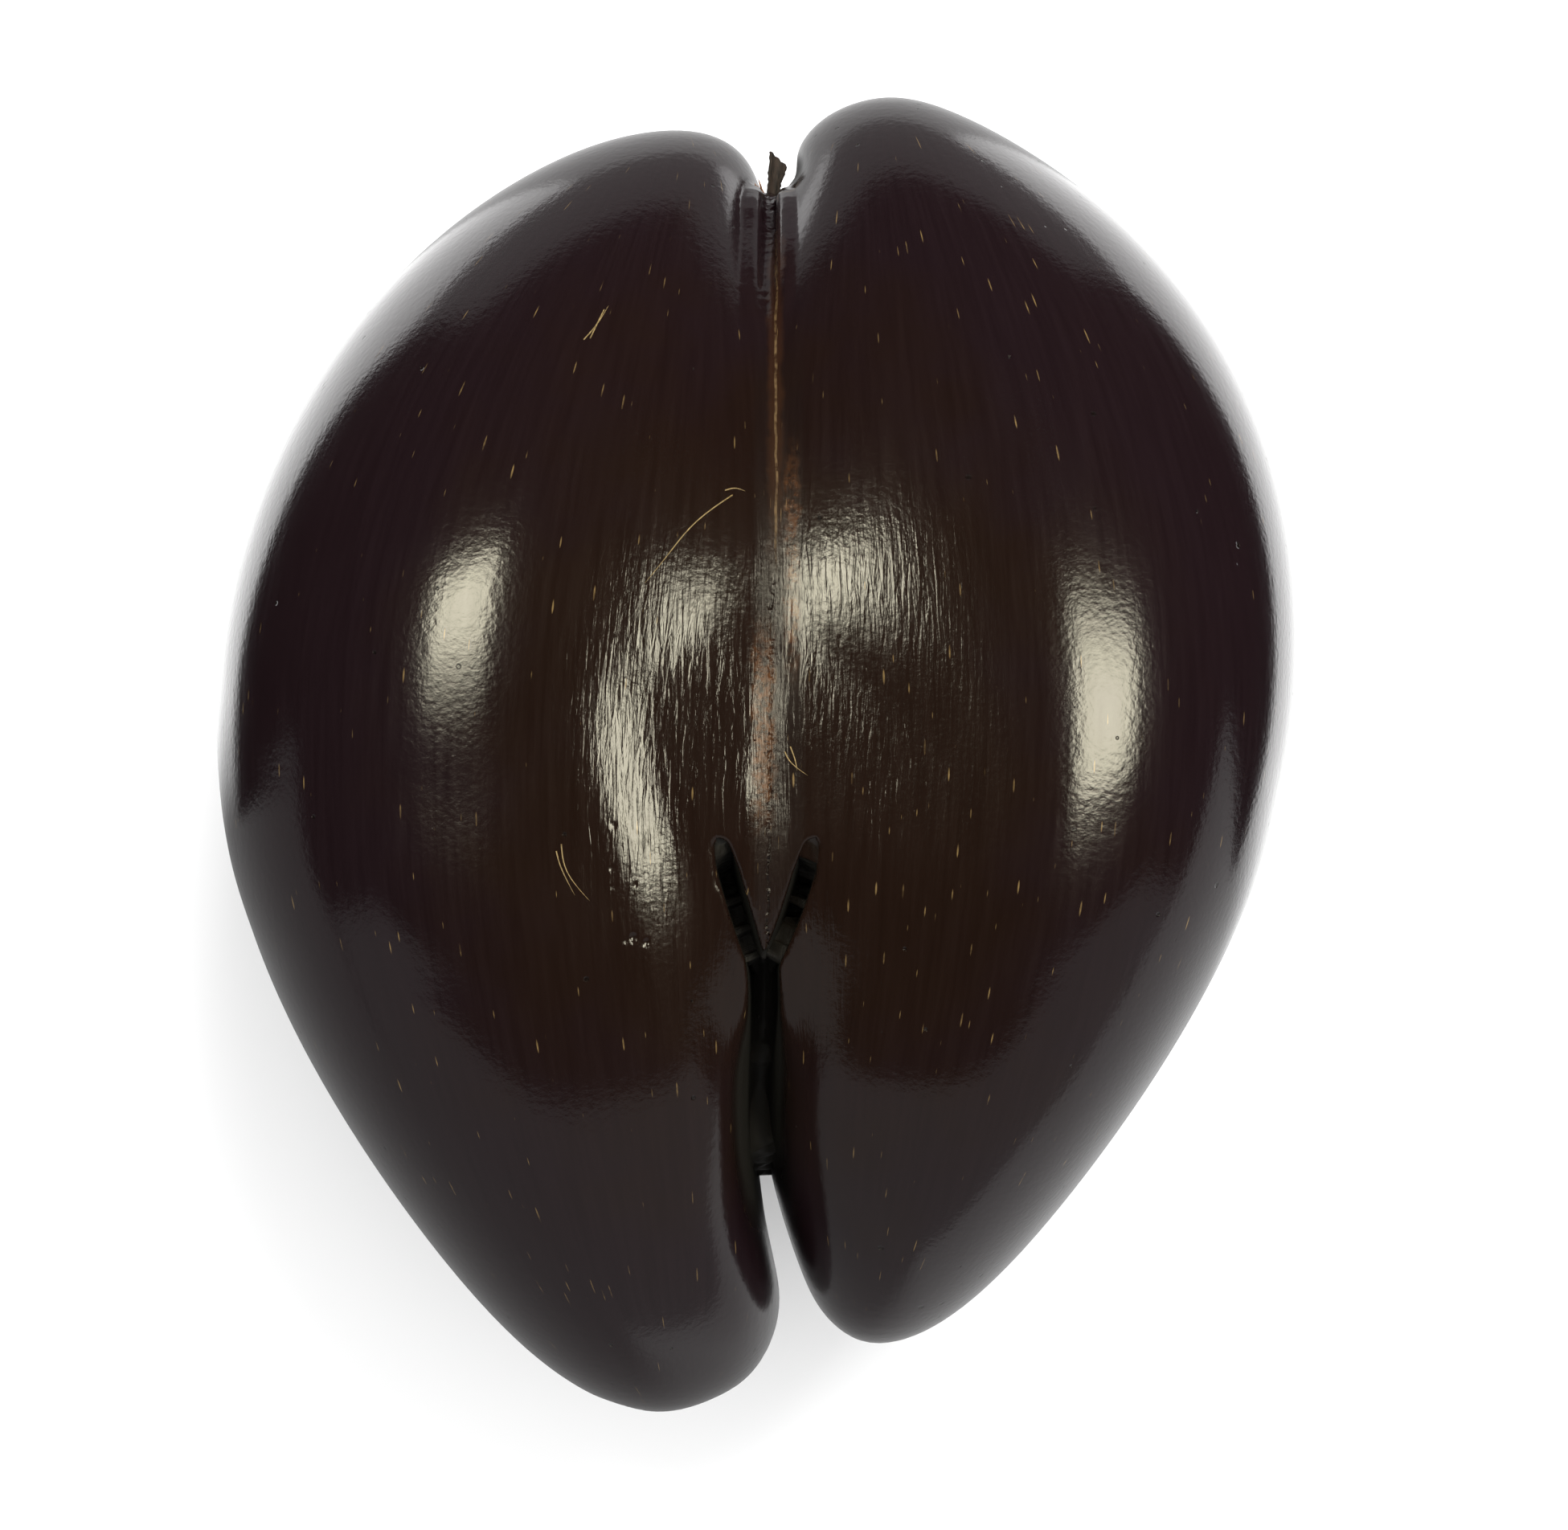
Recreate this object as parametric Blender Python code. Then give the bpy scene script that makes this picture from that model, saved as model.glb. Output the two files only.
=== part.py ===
"""Coco de mer seed: one hard shell of two lobes that grew as one piece.

The seed lies on its back with its front face up. +X is the photo's right, +Y
runs towards the notch between the lobe tops and +Z comes out of the front.
The form is one signed field, in millimetres, and the mesh is its zero surface.
"""
import bpy
import bmesh
import mathutils
import numpy as np

MM = 0.001

# lobes: sizes read from the photo's outline
LEFT_TOP, LEFT_TIP = 142.5, -150.0
RIGHT_TOP, RIGHT_TIP = 150.0, -134.4
LEFT_SPINE = (-22.4, -51.7, -18.8)
RIGHT_SPINE = (27.6, 56.3, 30.3)
LEFT_OUTER_SQUARENESS, RIGHT_OUTER_SQUARENESS = 0.15, 0.3
INNER_SQUARENESS = (0.7, 0.7, 0.7, 0.65, 0.35, 0.2, 0.35, 0.5, 0.5)

# where the widths and depths are stated, from tip -1 to top 1
SIX = (-1, -0.6, -0.2, 0.2, 0.6, 1)
FIVE = (-1, -0.5, 0, 0.5, 1)
NINE = (-1, -0.85, -0.7, -0.5, -0.2, 0.2, 0.6, 0.88, 1)
THREE = (-1, 0, 1)
LEFT_OUTER = (54.7, 56.2, 67.2, 72.65, 74.0, 72.1)
LEFT_INNER_FRONT = (39, 48, 47.5, 57, 84, 103, 73, 45, 45.5)
LEFT_INNER_BACK = (39, 48, 45.5, 48, 64, 68, 60, 44, 45.5)
RIGHT_OUTER = (39.9, 48.6, 61.7, 68.0, 67.7, 47.4)
RIGHT_INNER_FRONT = (26, 37, 47.8, 62, 96, 118, 76, 47.5, 47.7)
RIGHT_INNER_BACK = (26, 37, 45.8, 52, 64, 68, 62, 46.5, 47.7)
LEFT_FRONT = (76, 80, 82, 82, 80, 82, 83, 76, 72)
LEFT_BACK = (72, 82, 87, 86, 74)
RIGHT_FRONT = (74, 80, 83, 83, 81.5, 80, 80, 76, 72)
RIGHT_BACK = (70, 82, 87, 86, 76)
LIFT = (-4, 0, -4)

# how softly the lobes run into each other
CREASE_BLEND = 3.0
FRONT_BLEND_Y = (-100, -70, -45, -15, 5, 25, 45, 80, 130)
FRONT_BLEND = (3, 10, 25, 32, 26, 10, 6, 5, 3)
BACK_BLEND = 6.0

# valley down the front: its left flank, and the crease along the seam
FLANK_Y = (-75, -51, -28, -11, 7, 25, 36, 60)
FLANK_X = (-8, -12.5, -20, -26.5, -29.5, -25, -19, -12)
FLANK_DEPTH, FLANK_WIDTH = 3.0, 24.0
HOLLOW_DEPTH = 2.8
SEAM_X = 3.0
SEAM_DEPTH, SEAM_WIDTH = 0.8, 12.0

# slot between the lower lobes and the two slits of the V
SLOT_STATIONS = (-128, -112, -95, -75, -47)
SLOT_PATH = (10.0, 5.4, 1.7, 0.7, 1.5)
SLOT_HALF_WIDTH = 1.3
SLOT_FLARE = 0.034
SLOT_TOP = -45.0
WEB_CENTRE = -30.0
WEB_REACH = 60.0
WEB_FRONT, WEB_BACK = 42.0, 60.0
SLIT_TOP, SLIT_END = -17.0, -49.0
SLIT_STATIONS = (-18.6, -33.0, -46.0)
LEFT_SLIT = (-8.6, -4.8, -0.4)
RIGHT_SLIT = (13.1, 9.0, 3.4)
SLIT_HALF_WIDTH = 1.9
SLIT_FLOOR = (63.5, 52.5, 44.0)

# strap in the top notch, two small ridges on a low bed, and the flake that stands in it
RIDGE_Y = (126.4, 126.4, 124.8, 118.0, 110.0, 97.0, 82.0)
RIDGE_Z = ((-14, 2, 15, 23.2, 31.4, 42.9, 50.5), (-14, 1, 13, 22, 31, 43, 51),
           (-14, 4, 18.2, 27.8, 36.2, 46.2, 52.0))
RIDGE_X = (-1.5, 2.8, 7.0)
RIDGE_RADIUS = (3.0, 2.3, 2.7)
RIDGE_BLEND = 1.6
FLAKE_Y = (122.0, 137.0)
FLAKE_X = (3.2, 4.0)
FLAKE_HALF_WIDTH = (1.0, 2.3)
FLAKE_Z = 5.0
FLAKE_HALF_THICKNESS = 0.9

# small flats: worn left tip, and the two spots it rests on
TIP_FLAT_NORMAL = (-0.300, -0.954)
TIP_FLAT_DISTANCE = 150.5
REST_FLAT_DEPTH = 0.6
REST_EDGE = 0.35

# mesh
CELL = 2.6
FINE_CELL = 1.3
SHELL_TRIANGLES = 11200


def smoother(x, low, high):
    u = np.clip((x - low) / (high - low), 0, 1)
    return u * u * u * (u * (6 * u - 15) + 10)


def through(stations, values):
    return np.polyfit(stations, values, len(stations) - 1)


def bends(stations, values):
    """Values and bends of the natural cubic spline through them."""
    at, value = np.array(stations, float), np.array(values, float)
    gap, rise = np.diff(at), np.diff(value)
    system, right = np.eye(len(at)), np.zeros(len(at))
    for k in range(1, len(at) - 1):
        system[k, k - 1:k + 2] = gap[k - 1], 2 * (gap[k - 1] + gap[k]), gap[k]
        right[k] = 6 * (rise[k] / gap[k] - rise[k - 1] / gap[k - 1])
    return value, np.linalg.solve(system, right)


def spline(x, stations, value_and_bend):
    at = np.array(stations, float)
    value, bend = value_and_bend
    k = np.clip(np.searchsorted(at, x) - 1, 0, len(at) - 2)
    gap = at[k + 1] - at[k]
    ahead = np.clip((x - at[k]) / gap, -0.4, 1.4)
    behind = 1 - ahead
    curved = (behind ** 3 - behind) * bend[k] + (ahead ** 3 - ahead) * bend[k + 1]
    return behind * value[k] + ahead * value[k + 1] + curved * gap * gap / 6


def smooth_min(a, b, radius):
    h = np.clip(0.5 + 0.5 * (b - a) / radius, 0, 1)
    return b + (a - b) * h - radius * h * (1 - h)


def smooth_max(a, b, radius):
    return -smooth_min(-a, -b, radius)


def lobe(side, tip, top, spine, square, outer, inner_front, inner_back, front, back):
    return {
        "side": side, "middle": (top + tip) / 2, "half": (top - tip) / 2,
        "spine": through(THREE, spine), "square": square, "outer": through(SIX, outer),
        "inner_front": bends(NINE, inner_front), "inner_back": bends(NINE, inner_back),
        "front": bends(NINE, front), "back": through(FIVE, back),
        "lift": through(THREE, LIFT)}


SQUARENESS_BENDS = bends(NINE, INNER_SQUARENESS)
FLANK_BENDS = bends(FLANK_Y, FLANK_X)
BLEND_BENDS = bends(FRONT_BLEND_Y, FRONT_BLEND)
LOBES = (
    lobe(1, LEFT_TIP, LEFT_TOP, LEFT_SPINE, LEFT_OUTER_SQUARENESS, LEFT_OUTER,
         LEFT_INNER_FRONT, LEFT_INNER_BACK, LEFT_FRONT, LEFT_BACK),
    lobe(-1, RIGHT_TIP, RIGHT_TOP, RIGHT_SPINE, RIGHT_OUTER_SQUARENESS, RIGHT_OUTER,
         RIGHT_INNER_FRONT, RIGHT_INNER_BACK, RIGHT_FRONT, RIGHT_BACK))


def lobe_level(points, shape):
    x, y, z = points.T
    t = (y - shape["middle"]) / shape["half"]
    along = np.clip(t, -1.05, 1.05)
    across = shape["side"] * (x - np.polyval(shape["spine"], along))
    inner = spline(along, NINE, shape["inner_front"])
    inner_back = spline(along, NINE, shape["inner_back"])
    inner = inner_back + (inner - inner_back) * smoother(z, -40, 40)
    outer = np.polyval(shape["outer"], along)
    inward = smoother(across, -20, 30)
    across = across / (outer + (inner - outer) * inward)
    square = shape["square"] + (spline(along, NINE, SQUARENESS_BENDS) - shape["square"]) * inward
    front, back = spline(along, NINE, shape["front"]), np.polyval(shape["back"], along)
    deep = (z - np.polyval(shape["lift"], along)) / (back + (front - back) * smoother(z, -25, 25))
    width = (1 - square) * across ** 2 + square * across ** 6
    return np.sqrt(width + t * t + deep * deep + 1e-9) - 1


def lobe_distance(points, shape, step=0.05):
    level = lobe_level(points, shape)
    slope = np.zeros(len(points))
    for axis in range(3):
        moved = points.copy()
        moved[:, axis] += step
        slope += ((lobe_level(moved, shape) - level) / step) ** 2
    return level / np.maximum(np.sqrt(slope), 0.002)


def joined_lobes(points):
    y, z = points[:, 1], points[:, 2]
    front = np.maximum(spline(np.clip(y, -100, 130), FRONT_BLEND_Y, BLEND_BENDS), CREASE_BLEND)
    back = CREASE_BLEND + BACK_BLEND * smoother(y, -90, -40) * (1 - smoother(y, 100, 130))
    radius = back + (front - back) * smoother(z, -20, 30)
    return smooth_min(lobe_distance(points, LOBES[0]), lobe_distance(points, LOBES[1]), radius)


def valley_depth(points):
    x, y, z = points.T
    flank = spline(np.clip(y, -80, 65), FLANK_Y, FLANK_BENDS)
    left = FLANK_DEPTH * smoother(x - flank, -FLANK_WIDTH / 2, FLANK_WIDTH / 2)
    left *= 1 - smoother(y, -5 - 20 * smoother(x, -8, 18), 30)
    left *= (1 - smoother(x, SEAM_X - 4, 25)) * smoother(y, -95, -55)
    right = HOLLOW_DEPTH * smoother(x, -5, 12) * (1 - smoother(x, 28, 80))
    right *= (1 - smoother(y, -20, 48)) * smoother(y, -85, -40)
    crease = SEAM_DEPTH * np.clip(1 - np.sqrt((x - SEAM_X) ** 2 + 4) / SEAM_WIDTH, 0, 1) ** 1.3
    crease *= (1 - smoother(y, 60, 105)) * smoother(y, -5, 40)
    return (left + right + crease) * smoother(z, 20, 45)


def capsule_chain(points, path, radius):
    nearest = np.full(len(points), 1e3)
    for start, end in zip(path[:-1], path[1:]):
        run = end - start
        share = np.clip((points - start) @ run / (run @ run), 0, 1)
        gap = points - start - share[:, None] * run
        nearest = np.minimum(nearest, np.sqrt((gap * gap).sum(axis=1)))
    return nearest - radius


def ridge_path(x, heights):
    spots = np.linspace(0, 1, len(RIDGE_Y))
    along = np.linspace(0, 1, 19)
    y = spline(along, spots, bends(spots, RIDGE_Y))
    z = spline(along, spots, bends(spots, heights))
    return np.column_stack([np.full(len(along), x), y, z])


def flake(points):
    x, y, z = points.T
    share = np.clip((y - FLAKE_Y[0]) / (FLAKE_Y[1] - FLAKE_Y[0]), 0, 1)
    half = FLAKE_HALF_WIDTH[0] + (FLAKE_HALF_WIDTH[1] - FLAKE_HALF_WIDTH[0]) * share
    centre = FLAKE_X[0] + (FLAKE_X[1] - FLAKE_X[0]) * share
    sides = smooth_max(abs(x - centre) - half, abs(z - FLAKE_Z) - FLAKE_HALF_THICKNESS, 0.4)
    ends = np.maximum(FLAKE_Y[0] - y, y - FLAKE_Y[1] + 0.5 * abs(x - centre))
    return smooth_max(sides, ends, 0.4)


def slot(points):
    x, y, z = points.T
    centre = np.polyval(through(SLOT_STATIONS, SLOT_PATH), np.clip(y, -128, -47))
    half = SLOT_HALF_WIDTH + SLOT_FLARE * abs(z) + 0.05 * np.clip(-95 - y, 0, 33)
    web = np.where(z > 0, WEB_FRONT, WEB_BACK)
    outside_web = (np.sqrt(((y - WEB_CENTRE) / WEB_REACH) ** 2 + (z / web) ** 2) - 1) * 55
    return smooth_max(smooth_max(abs(x - centre) - half, -outside_web, 1.5), y - SLOT_TOP, 1.5)


def slit(points, path, tongue_side):
    x, y, z = points.T
    offset = x - np.polyval(through(SLIT_STATIONS, path), np.clip(y, -50, -15))
    share = np.clip((SLIT_TOP - y) / (SLIT_TOP - SLIT_END), 0, 1)
    half = SLIT_HALF_WIDTH * np.sqrt(np.clip(share * 4, 0, 1)) + 0.12 * np.clip(z - 58, 0, 12) * (offset * tongue_side > 0)
    floor = np.polyval(through(SLIT_STATIONS, SLIT_FLOOR), np.clip(y, -50, -15))
    hollow = smooth_max(abs(offset) - half, floor - z, 1.5)
    return smooth_max(hollow, np.maximum(y - SLIT_TOP, SLIT_END - y), 0.6)


def seed(points):
    field = joined_lobes(points) + valley_depth(points)
    x, y, z = points.T
    notch = (y > 76) & (abs(x - 3) < 20)
    for centre, heights, radius in zip(RIDGE_X, RIDGE_Z, RIDGE_RADIUS):
        ridge = capsule_chain(points[notch], ridge_path(centre, heights), radius)
        field[notch] = smooth_min(field[notch], ridge, RIDGE_BLEND)
    field[notch] = smooth_min(field[notch], flake(points[notch]), 0.5)
    low = y < -30
    field[low] = smooth_max(field[low], -slot(points[low]), 1.0 + 6 * smoother(-y[low], 80, 120))
    middle = (y < -10) & (y > -60) & (z > 40)
    for path, tongue_side in ((LEFT_SLIT, 1), (RIGHT_SLIT, -1)):
        field[middle] = smooth_max(field[middle], -slit(points[middle], path, tongue_side), 0.8)
    tip = TIP_FLAT_NORMAL[0] * x + TIP_FLAT_NORMAL[1] * y - TIP_FLAT_DISTANCE
    return smooth_max(field, tip, 0.4)


def grid_lines(low, high, fine_zones):
    lines, at = [low], low
    while at < high:
        fine = any(a <= at <= b for a, b in fine_zones)
        at += FINE_CELL if fine else CELL
        lines.append(at)
    return np.array(lines)


def field_on_grid(xs, ys, zs):
    points = np.stack(np.meshgrid(xs, ys, zs, indexing="ij"), axis=-1).reshape(-1, 3)
    rough = np.minimum(lobe_level(points, LOBES[0]), lobe_level(points, LOBES[1]))
    field = rough * 60
    close = (abs(rough) < 0.2) | (abs(points[:, 0] - 3) < 22)
    field[close] = seed(points[close])
    return field.reshape(len(xs), len(ys), len(zs))


def zero_surface(xs, ys, zs, field):
    """One vertex in each cell the surface crosses, one quad round each edge it crosses."""
    shape = np.array(field.shape)
    cells = shape - 1
    total = np.zeros(tuple(cells) + (3,))
    count = np.zeros(tuple(cells))
    lines = (xs, ys, zs)
    crossings = []
    for axis in range(3):
        a = np.take(field, range(shape[axis] - 1), axis)
        b = np.take(field, range(1, shape[axis]), axis)
        hit = (a < 0) != (b < 0)
        where = np.argwhere(hit)
        share = a[hit] / (a[hit] - b[hit])
        place = np.column_stack([lines[k][where[:, k]] for k in range(3)])
        ahead = lines[axis][where[:, axis] + 1]
        place[:, axis] += share * (ahead - place[:, axis])
        crossings.append((axis, where, (a < 0)[hit]))
        others = [k for k in range(3) if k != axis]
        for back_one in (0, 1):
            for back_two in (0, 1):
                cell = where.copy()
                cell[:, others[0]] -= back_one
                cell[:, others[1]] -= back_two
                np.add.at(total, tuple(cell.T), place)
                np.add.at(count, tuple(cell.T), 1)
    used = count > 0
    number = np.full(tuple(cells), -1)
    number[used] = np.arange(used.sum())
    verts = total[used] / count[used][:, None]
    faces = []
    for axis, where, solid_first in crossings:
        one, two = (axis + 1) % 3, (axis + 2) % 3
        corners = []
        for step_one, step_two in ((0, 0), (1, 0), (1, 1), (0, 1)):
            cell = where.copy()
            cell[:, one] -= step_one
            cell[:, two] -= step_two
            corners.append(number[tuple(cell.T)])
        quads = np.column_stack(corners)
        quads[~solid_first] = quads[~solid_first][:, ::-1]
        faces.append(quads)
    return verts, np.concatenate(faces)


def settle(verts, rounds=3, reach=1.0):
    for _ in range(rounds):
        value = seed(verts)
        slope = np.empty_like(verts)
        for axis in range(3):
            moved = verts.copy()
            moved[:, axis] += 0.02
            slope[:, axis] = (seed(moved) - value) / 0.02
        size = np.maximum((slope ** 2).sum(axis=1), 0.05)
        move = -(value / size)[:, None] * slope
        length = np.maximum(np.sqrt((move ** 2).sum(axis=1)), 1e-6)
        verts = verts + move * np.minimum(1, reach / length)[:, None]
    return verts


def rest_flats(verts):
    lowest = max(verts[verts[:, 0] < 0, 2].min(), verts[verts[:, 0] > 0, 2].min())
    verts[:, 2] = np.maximum(verts[:, 2], lowest + REST_FLAT_DEPTH)
    return verts


def shell_material():
    material = bpy.data.materials.new("shell")
    material.use_nodes = True
    surface = material.node_tree.nodes["Principled BSDF"]
    surface.inputs["Base Color"].default_value = (0.018, 0.010, 0.007, 1)
    surface.inputs["Roughness"].default_value = 0.24
    return material


def thin_out(nut, target):
    now = sum(len(face.vertices) - 2 for face in nut.data.polygons)
    thinner = nut.modifiers.new("thinner", "DECIMATE")
    thinner.ratio = target / now
    thinner.use_collapse_triangulate = True
    result = bpy.data.meshes.new_from_object(nut.evaluated_get(bpy.context.evaluated_depsgraph_get()))
    nut.modifiers.remove(thinner)
    nut.data = result


def sit_on_floor(nut):
    places = np.array([vert.co for vert in nut.data.vertices])
    low, high = places.min(axis=0), places.max(axis=0)
    shift = np.array([(low[0] + high[0]) / 2, (low[1] + high[1]) / 2, low[2]])
    for vert in nut.data.vertices:
        vert.co = [a - b for a, b in zip(vert.co, shift)]
        if vert.co.z < REST_EDGE * MM:
            vert.co.z = 0
    print("size mm", (high - low) / MM, "shift mm", shift / MM)


def build_nut():
    xs = grid_lines(-126, 126, [(-14, 18)])
    ys = grid_lines(-154, 154, [(-60, -12), (118, 140)])
    zs = grid_lines(-90, 84, [(2, 10)])
    verts, faces = zero_surface(xs, ys, zs, field_on_grid(xs, ys, zs))
    verts = rest_flats(settle(verts))
    mesh = bpy.data.meshes.new("nut")
    mesh.from_pydata((verts * MM).tolist(), [], faces.tolist())
    nut = bpy.data.objects.new("nut", mesh)
    bpy.context.scene.collection.objects.link(nut)
    thin_out(nut, SHELL_TRIANGLES)
    sit_on_floor(nut)
    nut.data.materials.append(shell_material())
    for face in nut.data.polygons:
        face.use_smooth = True
    return nut


def report(nut):
    body = bmesh.new()
    body.from_mesh(nut.data)
    loose = [edge for edge in body.edges if len(edge.link_faces) != 2]
    print("triangles", len(body.faces), "open edges", len(loose), "volume cm3", body.calc_volume() * 1e6)
    for edge in loose:
        print("open edge near mm", (edge.verts[0].co / MM)[:], "faces", len(edge.link_faces))
    for name, side in (("left", -1), ("right", 1)):
        flats = [face for face in body.faces if face.normal.z < -0.9999
                 and face.calc_center_median().z < 1e-5 and face.calc_center_median().x * side > 0]
        area = sum(face.calc_area() for face in flats)
        middle = sum((face.calc_center_median() * face.calc_area() for face in flats), mathutils.Vector()) / max(area, 1e-9)
        print(name, "rest flat: faces", len(flats), "area mm2", area * 1e6, "middle", tuple(middle))
    body.free()


for thing in list(bpy.data.objects):
    bpy.data.objects.remove(thing)
report(build_nut())
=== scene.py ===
# %% [markdown]
# # A coco de mer seed
# The real thing is the hard black-brown shell of the largest seed there is:
# two lobes that grew as one, sanded and polished until the fibres show as
# short golden flecks. It lies on its back, and the camera looks straight down
# on its front, as the photograph does.
# The CAD frame gives the shell its size and form. This script gives it a finer
# skin, its small loose parts and its finish.

# %% Start from the frame
import math
import random

import bmesh
import bpy
import mathutils
import numpy as np
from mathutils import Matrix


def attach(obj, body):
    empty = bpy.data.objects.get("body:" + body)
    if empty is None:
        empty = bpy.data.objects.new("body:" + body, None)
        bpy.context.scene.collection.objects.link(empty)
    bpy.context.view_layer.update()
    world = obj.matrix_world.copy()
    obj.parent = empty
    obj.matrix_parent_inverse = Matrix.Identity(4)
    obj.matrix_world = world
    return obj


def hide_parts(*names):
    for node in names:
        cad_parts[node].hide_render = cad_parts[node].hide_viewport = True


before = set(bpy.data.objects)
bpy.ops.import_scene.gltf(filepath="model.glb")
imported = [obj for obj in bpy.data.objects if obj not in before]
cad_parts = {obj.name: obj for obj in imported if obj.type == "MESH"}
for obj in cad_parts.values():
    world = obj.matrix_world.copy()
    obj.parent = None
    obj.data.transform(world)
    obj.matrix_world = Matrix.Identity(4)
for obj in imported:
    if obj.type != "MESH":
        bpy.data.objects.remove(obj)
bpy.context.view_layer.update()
MM = 0.001

# %% [markdown]
# ## The camera
# The photograph was taken with a long lens, so the outline hardly spreads.
# The lens comes from the picture's width at the seed, in millimetres, and the
# distance. The seed's middle plane is where its outline is widest.

# %% Camera
FRAME_SHIFT = np.array([-0.08, -0.013, 86.493])
CAMERA_OVER_MIDDLE = 1550.0
PICTURE_WIDTH = 357.3
CAMERA_X, CAMERA_Y = 6.04, -2.4

lens = bpy.data.cameras.new("camera")
lens.sensor_width = 36.0
lens.lens = 36.0 * CAMERA_OVER_MIDDLE / PICTURE_WIDTH
lens.clip_start, lens.clip_end = 0.1, 30.0
camera = bpy.data.objects.new("camera", lens)
camera.location = (np.array([CAMERA_X, CAMERA_Y, CAMERA_OVER_MIDDLE]) + FRAME_SHIFT) * MM
bpy.context.scene.collection.objects.link(camera)
bpy.context.scene.camera = camera
print("lens mm", round(lens.lens, 1))

# %% [markdown]
# ## The form as a field
# The lobes are two long rounded bodies that run into each other. A field is a
# formula that is negative inside the shell and positive outside. The CAD's
# surface is where it is zero, and the same formula is written here, so a finer
# mesh can be pulled exactly onto it. Reflections in a polished shell show every
# facet, so a formula is a better guide than the CAD's flat triangles.

# %% Curves that the sizes run along
def smoother(x, low, high):
    u = np.clip((x - low) / (high - low), 0, 1)
    return u * u * u * (u * (6 * u - 15) + 10)


def through(stations, values):
    return np.polyfit(stations, values, len(stations) - 1)


def bends(stations, values):
    """Values and bends of the natural cubic spline through them."""
    at, value = np.array(stations, float), np.array(values, float)
    gap, rise = np.diff(at), np.diff(value)
    system, right = np.eye(len(at)), np.zeros(len(at))
    for k in range(1, len(at) - 1):
        system[k, k - 1:k + 2] = gap[k - 1], 2 * (gap[k - 1] + gap[k]), gap[k]
        right[k] = 6 * (rise[k] / gap[k] - rise[k - 1] / gap[k - 1])
    return value, np.linalg.solve(system, right)


def spline(x, stations, value_and_bend):
    at = np.array(stations, float)
    value, bend = value_and_bend
    k = np.clip(np.searchsorted(at, x) - 1, 0, len(at) - 2)
    gap = at[k + 1] - at[k]
    ahead = np.clip((x - at[k]) / gap, -0.4, 1.4)
    behind = 1 - ahead
    curved = (behind ** 3 - behind) * bend[k] + (ahead ** 3 - ahead) * bend[k + 1]
    return behind * value[k] + ahead * value[k + 1] + curved * gap * gap / 6


def smooth_min(a, b, radius):
    h = np.clip(0.5 + 0.5 * (b - a) / radius, 0, 1)
    return b + (a - b) * h - radius * h * (1 - h)


def smooth_max(a, b, radius):
    return -smooth_min(-a, -b, radius)


# %% [markdown]
# ## Two lobes
# Each lobe is a long body whose girth changes from tip to top. Its spine bends,
# its outer side is squarer than a circle, and its inner side is fuller in front
# than behind. The sizes are named at a few stations, and curves run between them.

# %% Two lobes
LEFT_TOP, LEFT_TIP = 142.5, -150.0
RIGHT_TOP, RIGHT_TIP = 150.0, -134.4
SIX = (-1, -0.6, -0.2, 0.2, 0.6, 1)
FIVE = (-1, -0.5, 0, 0.5, 1)
NINE = (-1, -0.85, -0.7, -0.5, -0.2, 0.2, 0.6, 0.88, 1)
THREE = (-1, 0, 1)
LIFT = (-4, 0, -4)
INNER_SQUARENESS = bends(NINE, (0.7, 0.7, 0.7, 0.65, 0.35, 0.2, 0.35, 0.5, 0.5))


def lobe(side, tip, top, spine, square, outer, inner_front, inner_back, front, back):
    return {
        "side": side, "middle": (top + tip) / 2, "half": (top - tip) / 2,
        "spine": through(THREE, spine), "square": square, "outer": through(SIX, outer),
        "inner_front": bends(NINE, inner_front), "inner_back": bends(NINE, inner_back),
        "front": bends(NINE, front), "back": through(FIVE, back),
        "lift": through(THREE, LIFT)}


LEFT_LOBE = lobe(
    1, LEFT_TIP, LEFT_TOP, spine=(-22.4, -51.7, -18.8), square=0.15,
    outer=(54.7, 56.2, 67.2, 72.65, 74.0, 72.1),
    inner_front=(39, 48, 47.5, 57, 84, 103, 73, 45, 45.5),
    inner_back=(39, 48, 45.5, 48, 64, 68, 60, 44, 45.5),
    front=(76, 80, 82, 82, 80, 82, 83, 76, 72), back=(72, 82, 87, 86, 74))
RIGHT_LOBE = lobe(
    -1, RIGHT_TIP, RIGHT_TOP, spine=(27.6, 56.3, 30.3), square=0.3,
    outer=(39.9, 48.6, 61.7, 68.0, 67.7, 47.4),
    inner_front=(26, 37, 47.8, 62, 96, 118, 76, 47.5, 47.7),
    inner_back=(26, 37, 45.8, 52, 64, 68, 62, 46.5, 47.7),
    front=(74, 80, 83, 83, 81.5, 80, 80, 76, 72), back=(70, 82, 87, 86, 76))


def lobe_level(points, shape):
    x, y, z = points.T
    t = (y - shape["middle"]) / shape["half"]
    along = np.clip(t, -1.05, 1.05)
    across = shape["side"] * (x - np.polyval(shape["spine"], along))
    inner = spline(along, NINE, shape["inner_front"])
    inner_back = spline(along, NINE, shape["inner_back"])
    inner = inner_back + (inner - inner_back) * smoother(z, -40, 40)
    outer = np.polyval(shape["outer"], along)
    inward = smoother(across, -20, 30)
    across = across / (outer + (inner - outer) * inward)
    square = shape["square"] + (spline(along, NINE, INNER_SQUARENESS) - shape["square"]) * inward
    front, back = spline(along, NINE, shape["front"]), np.polyval(shape["back"], along)
    deep = (z - np.polyval(shape["lift"], along)) / (back + (front - back) * smoother(z, -25, 25))
    width = (1 - square) * across ** 2 + square * across ** 6
    return np.sqrt(width + t * t + deep * deep + 1e-9) - 1


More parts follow.
